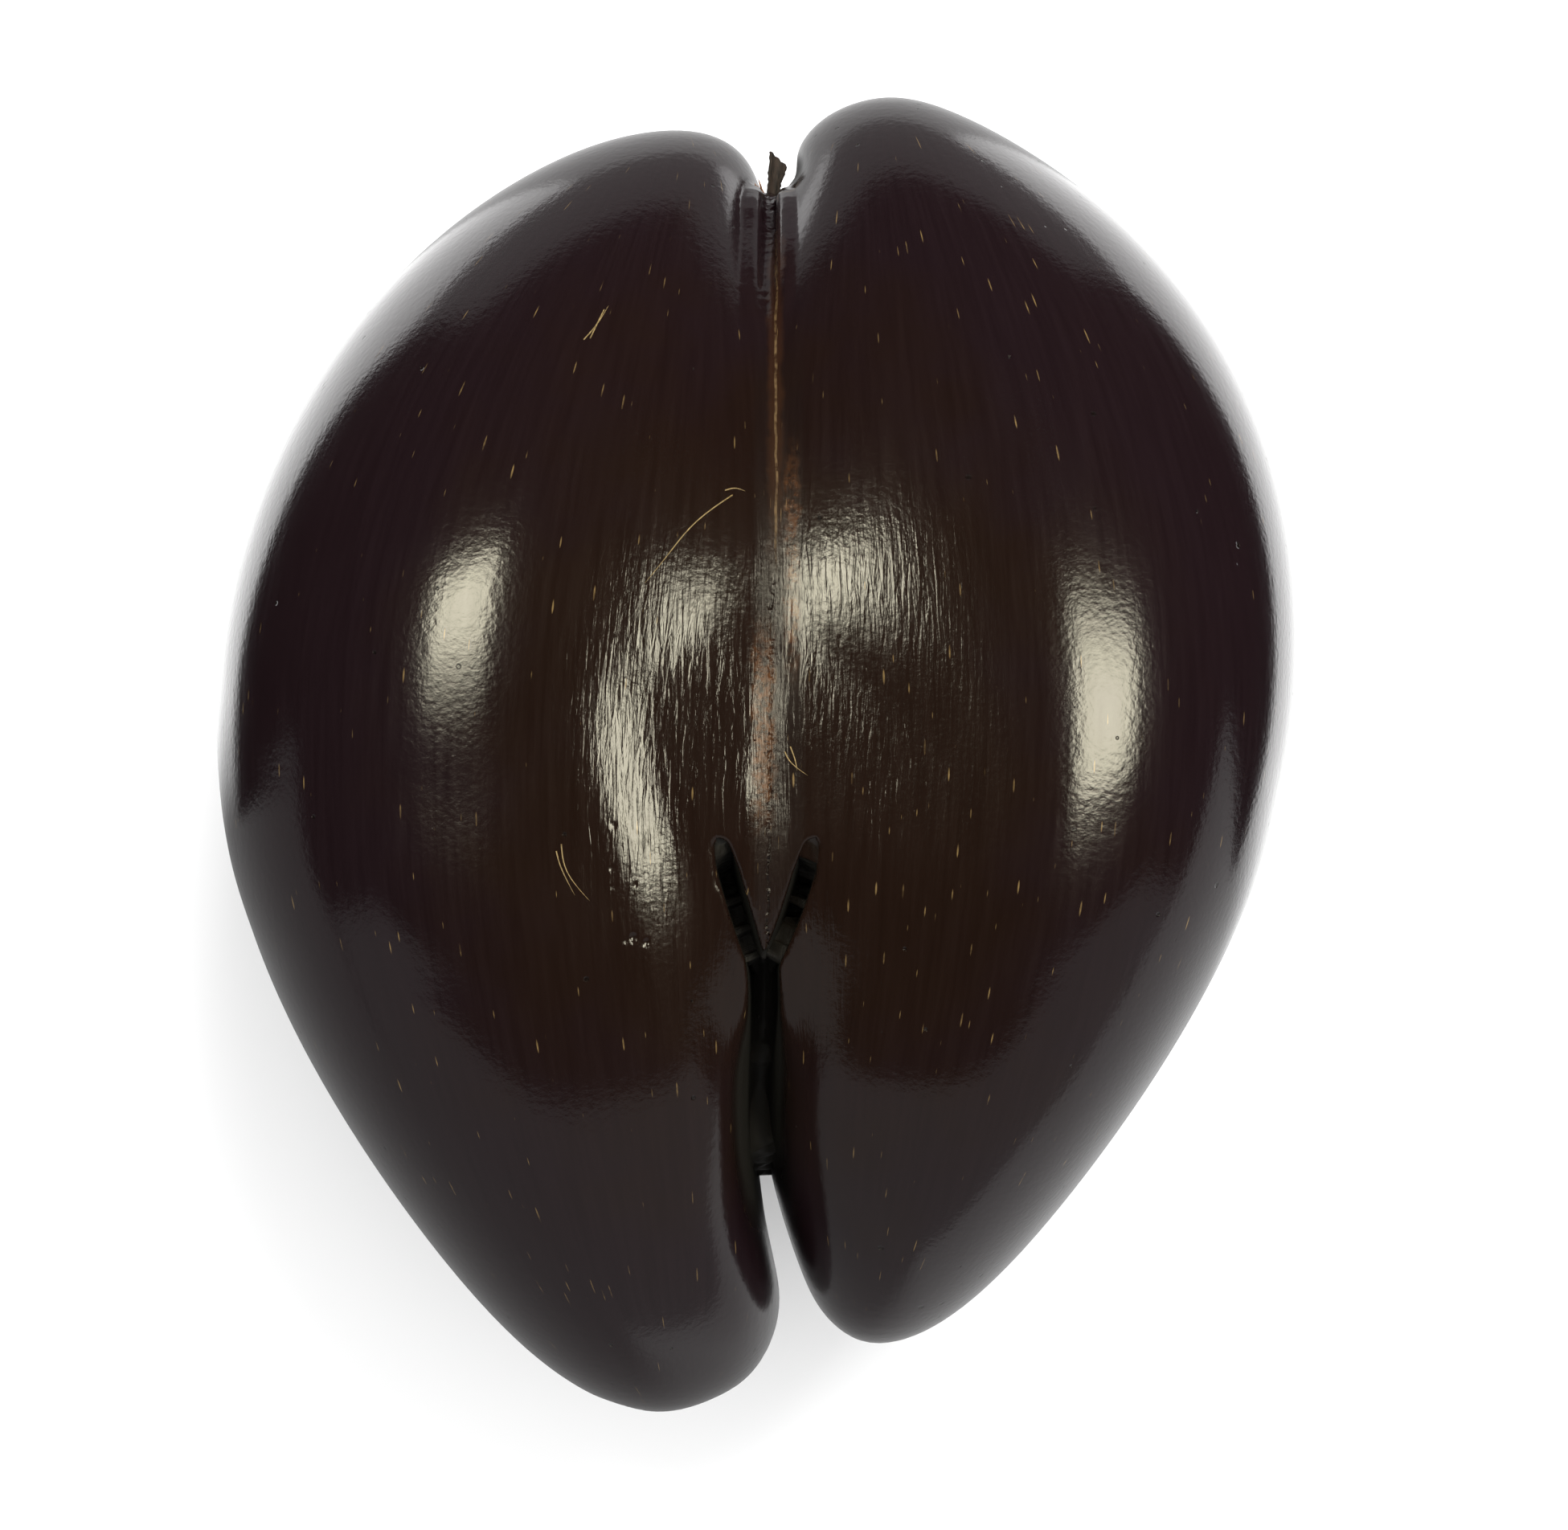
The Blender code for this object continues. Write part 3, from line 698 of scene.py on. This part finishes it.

# %% [markdown]
# ### Hollows and polish
# Sanding and wax never reached the slot and the slits, so they are dull. Their colour also turns to a
# dark hollow colour with depth, which is painted shade in the recesses. The cavity attribute says how
# far below the outer form a place lies.

# %% Shell material: dull hollows with painted shade, and polish outside them
HOLLOW_PAINTED_SHADE = linear("15110b")

cavity = add(tree, "Attribute", {"attribute_name": "cavity"}).outputs["Fac"]
dull_and_painted_shade = add(tree, "MapRange", SMOOTH, Value=cavity, From_Min=0.15, From_Max=1.6).outputs[0]
# Painted shade: the colour turns to the hollow colour with depth below the outer form. The same mask
# also raises the roughness.
base = add(tree, "Mix", COLOURS, _0=dull_and_painted_shade, _6=base, _7=HOLLOW_PAINTED_SHADE).outputs[2]
shine = add(tree, "MapRange", Value=streaks, From_Min=0.3, From_Max=0.7, To_Min=0.13, To_Max=0.18)
shine = add(tree, "Math", {"operation": "MULTIPLY_ADD"}, _0=dull_and_painted_shade, _1=0.5, _2=shine)
matt_seam = overlap(band(x_mm, 4.9, 4.0, 2.4), band(y_mm, 25, 50, 25), front_mask)
shine = add(tree, "Math", {"operation": "MULTIPLY_ADD"}, _0=matt_seam, _1=0.08, _2=shine)
surface = add(tree, "BsdfPrincipled", Base_Color=base, Roughness=shine, Normal=pore_bump)
tree.links.new(surface.outputs["BSDF"], output.inputs["Surface"])
nut_mesh.materials.clear()
nut_mesh.materials.append(shell_finish)
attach(nut, "root")
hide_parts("nut")

# %% [markdown]
# ## Hairs in the polish
# Loose fibres were caught in the wax and lie on the shell as thin gold lines.
# Each is a strand: a small ring extruded from point to point along the surface,
# thinning towards its end.

# %% Strand helpers
def on_front(x, y):
    """The height of the front surface over each place."""
    places = np.column_stack([x, y, np.full(len(x), 95.0)])
    for _ in range(60):
        places[:, 2] -= np.clip(shell(places), -2, 4) * 0.8
    return places[:, 2]


def strand(body, path, radius, sides=6):
    ring = bmesh.ops.create_circle(body, segments=sides, radius=radius * MM)["verts"]
    first = mathutils.Vector(((path[0] + FRAME_SHIFT) * MM).tolist())
    heading = mathutils.Vector((path[1] - path[0]).tolist())
    turn = heading.to_track_quat("Z", "Y").to_matrix()
    bmesh.ops.rotate(body, verts=ring, cent=(0, 0, 0), matrix=turn)
    bmesh.ops.translate(body, verts=ring, vec=first)
    edges = list({edge for vert in ring for edge in vert.link_edges})
    foot = edges
    for number, (start, end) in enumerate(zip(path[:-1], path[1:]), 2):
        grown = bmesh.ops.extrude_edge_only(body, edges=edges)["geom"]
        verts = [part for part in grown if isinstance(part, bmesh.types.BMVert)]
        edges = [part for part in grown if isinstance(part, bmesh.types.BMEdge)]
        bmesh.ops.translate(body, verts=verts, vec=((end - start) * MM).tolist())
        thinner = 1 - 0.8 * (number / len(path)) ** 3
        middle = mathutils.Vector(((end + FRAME_SHIFT) * MM).tolist())
        for vert in verts:
            vert.co = middle + (vert.co - middle).normalized() * radius * MM * thinner
    bmesh.ops.holes_fill(body, edges=foot + edges)


def curve(points, count):
    spots = np.linspace(0, 1, len(points))
    along = np.linspace(0, 1, count)
    axes = np.array(points, float).T
    return np.column_stack([spline(along, spots, bends(spots, axis)) for axis in axes])


def finish_piece(name, body, material):
    bmesh.ops.recalc_face_normals(body, faces=body.faces)
    mesh = bpy.data.meshes.new(name)
    body.to_mesh(mesh)
    body.free()
    for polygon in mesh.polygons:
        polygon.use_smooth = True
    mesh.materials.append(material)
    piece = bpy.data.objects.new(name, mesh)
    bpy.context.scene.collection.objects.link(piece)
    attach(piece, "root")
    print(name, "faces", len(mesh.polygons))
    return piece


def fibre_material(name, dark, light, roughness):
    """Plant fibre: two colours in streaks along Y, dull."""
    material, tree, output = new_material(name)
    place = add(tree, "TexCoord").outputs["Object"]
    stretched = add(tree, "Mapping", Vector=place, Scale=(3000, 400, 3000))
    streaks = add(tree, "TexNoise", Vector=stretched, Scale=1.0, Detail=4.0).outputs["Fac"]
    share = add(tree, "MapRange", Value=streaks, From_Min=0.35, From_Max=0.65)
    colour = add(tree, "Mix", COLOURS, _0=share, _6=linear(dark), _7=linear(light)).outputs[2]
    relief = add(tree, "Bump", Height=streaks, Strength=1.0, Distance=0.00008)
    surface = add(tree, "BsdfPrincipled", Base_Color=colour, Roughness=roughness, Normal=relief)
    tree.links.new(surface.outputs["BSDF"], output.inputs["Surface"])
    return material


# %% Hairs on the front
HAIR_RADIUS = 0.16
HAIRS = (
    ((-5.2, 56.4), (-13.3, 50.2), (-19.2, 43.1), (-24.1, 37.0)),
    ((-6.8, 57.4), (-4.6, 57.9), (-2.4, 57.3)),
    ((-37.8, 90.7), (-35.0, 94.2), (-32.5, 98.5)),
    ((-36.4, 91.0), (-33.9, 96.6), (-33.4, 97.6)),
    ((-42.1, -19.5), (-40.8, -25.6), (-36.0, -31.8)),
    ((-43.2, -21.0), (-42.0, -25.0), (-39.2, -30.6)),
    ((6.2, 0.5), (7.7, -2.0), (11.2, -4.7)),
    ((7.4, 1.6), (8.4, -1.2), (8.9, -3.6)))

body = bmesh.new()
for hair in HAIRS:
    flat = curve(hair, 14)
    path = np.column_stack([flat, on_front(flat[:, 0], flat[:, 1]) + HAIR_RADIUS * 0.4])
    strand(body, path, HAIR_RADIUS)
finish_piece("polish_hairs", body, fibre_material("gold_palm_fibre", "5c4a28", "8a7448", 0.5))

# %% [markdown]
# ## The flake and the splinters in the notch
# A flake of dry husk still stands between the two ridges, narrow at its foot
# and cut to a point at its top right corner. Beside it the husk tore off in
# orange-brown splinters. The flake is a small grid, shaped, then given its
# thickness with solidify.

# %% Husk flake
FLAKE_FOOT_Y, FLAKE_TOP_Y, FLAKE_POINT_Y, FLAKE_Z = 121.5, 136.9, 133.6, 5.2
FLAKE_LEFT_X, FLAKE_RIGHT_X = (2.1, 2.6, 3.2), (3.9, 4.6, 6.6)
FLAKE_THICKNESS = 0.5

body = bmesh.new()
bmesh.ops.create_grid(body, x_segments=8, y_segments=22, size=0.5)
for vert in body.verts:
    across, up = vert.co.x + 0.5, vert.co.y + 0.5
    left = np.polyval(through((0, 0.5, 1), FLAKE_LEFT_X), up)
    right = np.polyval(through((0, 0.5, 1), FLAKE_RIGHT_X), up)
    torn = 0.22 * math.sin(19 * up + 1) * math.sin(43 * up) * (abs(across - 0.5) * 2) ** 2
    top = FLAKE_TOP_Y + (FLAKE_POINT_Y - FLAKE_TOP_Y) * across + 0.25 * math.sin(17 * across)
    curl = 1.1 * (2 * across - 1) ** 2 * up + 0.5 * math.sin(3 * up)
    place = np.array([left + (right - left) * across + torn, FLAKE_FOOT_Y + (top - FLAKE_FOOT_Y) * up,
                     FLAKE_Z + curl])
    vert.co = ((place + FRAME_SHIFT) * MM).tolist()
bmesh.ops.recalc_face_normals(body, faces=body.faces)
bmesh.ops.solidify(body, geom=body.faces[:], thickness=FLAKE_THICKNESS * MM)
finish_piece("husk_flake", body, fibre_material("dry_palm_husk", "140e0b", "30241c", 0.7))

# %% Splinters and fuzz
SPLINTER_ROOTS = ((0.6, 126.0, 9.0), (1.1, 126.4, 7.0), (1.5, 125.8, 10.0), (0.2, 126.6, 8.0),
                  (1.9, 125.2, 9.0))
FUZZ_COUNT = 26

body = bmesh.new()
for root in SPLINTER_ROOTS:
    root = np.array(root)
    tip = root + (dice.uniform(-1.6, 0.2), dice.uniform(2.0, 4.2), dice.uniform(-0.5, 1.0))
    strand(body, curve((root, (root + tip) / 2 + (0.2, 0, 0.3), tip), 8), dice.uniform(0.2, 0.34))
finish_piece("husk_splinters", body, fibre_material("orange_palm_husk", "4a2a12", "8a5a2c", 0.7))

body = bmesh.new()
for number in range(FUZZ_COUNT):
    ridge_x = (-3.6, 6.4)[number % 2] + dice.uniform(0, 3.6)
    root = np.array([ridge_x, 126.6, dice.uniform(2, 12)])
    tip = root + (dice.uniform(-1.2, 0.6), dice.uniform(0.8, 3.4), dice.uniform(-0.5, 0.8))
    strand(body, curve((root, (root + tip) / 2 + (0.1, 0, 0.2), tip), 6), dice.uniform(0.04, 0.08),
           sides=5)
finish_piece("notch_fuzz", body, fibre_material("grey_palm_fibre", "6a625c", "a09890", 0.8))

# %% [markdown]
# ## The torn membrane
# Where the web between the lower lobes ends, a scrap of dried pale membrane
# hangs, and its torn edge runs up the bottom of the groove.

# %% Membrane
MEMBRANE_PATH = ((-1.7, -80.0, 27.0), (-1.9, -84.0, 22.0), (-0.9, -88.5, 15.0), (0.6, -92.6, 10.0))
MEMBRANE_WIDTH, MEMBRANE_THICKNESS = 1.7, 0.3
TORN_EDGE = ((-0.2, -66.0, 34.5), (-0.9, -72.0, 31.5), (-1.3, -77.0, 29.0), (-0.6, -82.0, 24.5),
             (0.4, -88.0, 18.0))

body = bmesh.new()
bmesh.ops.create_grid(body, x_segments=6, y_segments=20, size=0.5)
path = curve(MEMBRANE_PATH, 101)
for vert in body.verts:
    across, down = vert.co.x, vert.co.y + 0.5
    middle = path[round(down * 100)]
    width = MEMBRANE_WIDTH * math.sin(math.pi * (0.12 + 0.8 * down)) * (1 + 0.15 * math.sin(23 * down))
    place = middle + (across * width, 0, 0.5 * math.sin(5 * down) * across + 2 * across * across)
    vert.co = ((place + FRAME_SHIFT) * MM).tolist()
bmesh.ops.recalc_face_normals(body, faces=body.faces)
bmesh.ops.solidify(body, geom=body.faces[:], thickness=MEMBRANE_THICKNESS * MM)
strand(body, curve(TORN_EDGE, 24), 0.22)
finish_piece("torn_membrane", body, fibre_material("dried_membrane", "5a5048", "9a938a", 0.6))

# %% [markdown]
# ## The studio
# The seed lies on a plain white floor. Two soft boxes stand far above it, one to
# each side, and give the two bright windows on the outer lobes and the two
# streaks in the valley. Pale cards that only reflections see stand for the white
# paper behind the seed and the grey table below it.

# %% Floor
def flat_mesh(name, corners, material):
    body = bmesh.new()
    body.faces.new([body.verts.new([v * MM for v in corner]) for corner in corners])
    mesh = bpy.data.meshes.new(name)
    body.to_mesh(mesh)
    body.free()
    mesh.materials.append(material)
    thing = bpy.data.objects.new(name, mesh)
    bpy.context.scene.collection.objects.link(thing)
    return thing


floor_finish, tree, output = new_material("white_paper")
surface = add(tree, "BsdfDiffuse", Color=(0.9, 0.9, 0.9, 1))
tree.links.new(surface.outputs["BSDF"], output.inputs["Surface"])
FAR = 6000
floor = flat_mesh("floor", [(-FAR, -FAR, 0), (FAR, -FAR, 0), (FAR, FAR, 0), (-FAR, FAR, 0)],
                  floor_finish)
floor.visible_glossy = False

world = bpy.data.worlds.new("studio")
world.use_nodes = True
world.node_tree.nodes["Background"].inputs["Color"].default_value = (1, 1, 1, 1)
world.node_tree.nodes["Background"].inputs["Strength"].default_value = 1.4
world.cycles_visibility.glossy = False
bpy.context.scene.world = world
bpy.context.scene.view_settings.view_transform = "Standard"


# %% [markdown]
# ### The lamp
# One lamp stands behind the seed to its right. It lights the paper and leaves a
# faint shadow to the lower left.

# %% Lamp on the paper
key_light = bpy.data.lights.new("paper_lamp", "AREA")
key_light.shape, key_light.size, key_light.size_y = "RECTANGLE", 1.8, 1.0
key_light.energy = 16 * math.pi * key_light.size * key_light.size_y
key = bpy.data.objects.new("paper_lamp", key_light)
key.location = (0.8, 1.5, 2.2)
key.rotation_euler = key.location.to_track_quat("Z", "Y").to_euler()
key.visible_camera = key.visible_glossy = False
bpy.context.scene.collection.objects.link(key)


# %% [markdown]
# ### What the polish reflects
# Only glossy rays see these. The soft boxes fade to one side, as a real box does
# away from its bulb. The papers lie round the upper half and the table below.

# %% Boxes and cards that only reflections see
WARM_WHITE = (1.0, 0.95, 0.74, 1)
PLAIN_WHITE = (1.0, 1.0, 1.0, 1)


def card(name, corners, radiance, fade=None, colour=PLAIN_WHITE):
    """fade: axis, where the other radiance holds, where the card's own begins, the other radiance."""
    finish, tree, output = new_material(name)
    strength = radiance
    if fade:
        axis, start, end, other = fade
        place = add(tree, "TexCoord").outputs["Object"]
        along = add(tree, "SeparateXYZ", _0=place).outputs[axis]
        strength = add(tree, "MapRange", SMOOTH, Value=along,
                       From_Min=start * MM, From_Max=end * MM, To_Min=other, To_Max=radiance)
    glow = add(tree, "Emission", Color=colour, Strength=strength)
    tree.links.new(glow.outputs["Emission"], output.inputs["Surface"])
    thing = flat_mesh(name, corners, finish)
    thing.visible_camera = thing.visible_diffuse = thing.visible_shadow = False
    thing.visible_transmission = thing.visible_volume_scatter = False
    return thing


def soft_box(name, low, high, radiance, fade):
    (left, near), (right, far) = low, high
    plan = ((left, near), (right, near), (right, far), (left, far))
    return card(name, [(x, y, BOX_HEIGHT) for x, y in plan], radiance, fade, WARM_WHITE)


BOX_HEIGHT = 3170
PAPER, PAPER_DIM, TABLE_LEFT, TABLE_RIGHT = 2.2, 0.9, 0.3, 0.7
NOTCH_LEFT, NOTCH_RIGHT, NOTCH_NEAR, NOTCH_WIDENS, PAPER_FAR = -95, 85, 60, 118, 420

soft_box("left_soft_box", (-2200, 150), (-880, 1290), 17, ("Y", 150, 750, 3))
soft_box("right_soft_box", (1200, -420), (2850, 950), 16, ("Y", 1100, 450, 5))
left_outline = ((0, -30), (-206, -30), (-235, 90), (-260, 300), (-200, PAPER_FAR),
                (NOTCH_LEFT, PAPER_FAR), (NOTCH_LEFT, NOTCH_WIDENS), (0, NOTCH_NEAR))
right_outline = ((0, -75), (0, NOTCH_NEAR), (NOTCH_RIGHT, NOTCH_WIDENS), (NOTCH_RIGHT, PAPER_FAR),
                 (200, PAPER_FAR), (260, 300), (245, 90), (225, -75))
notch_outline = ((NOTCH_LEFT, NOTCH_WIDENS), (0, NOTCH_NEAR), (NOTCH_RIGHT, NOTCH_WIDENS),
                 (NOTCH_RIGHT, PAPER_FAR), (NOTCH_LEFT, PAPER_FAR))
near_outline = ((-2500, -2000), (2500, -2000), (2500, -70), (0, -70), (0, -25), (-2500, -25))
card("left_paper", [(*spot, 1) for spot in left_outline], PAPER, ("Y", -25, 22, TABLE_LEFT))
card("right_paper", [(*spot, 1) for spot in right_outline], PAPER, ("Y", -70, -15, TABLE_RIGHT))
card("notch_paper", [(*spot, 1) for spot in notch_outline], PAPER_DIM)
card("far_paper", [(-260, 300, 1.5), (-900, 1500, 1.5), (900, 1500, 1.5), (260, 300, 1.5)], 0.4)
card("table_card", [(-5000, -2000, 0), (5000, -2000, 0), (5000, -2000, 2600), (-5000, -2000, 2600)],
     0.32)
card("table_near", [(*spot, 2) for spot in near_outline], TABLE_RIGHT, ("X", -40, 120, TABLE_LEFT))
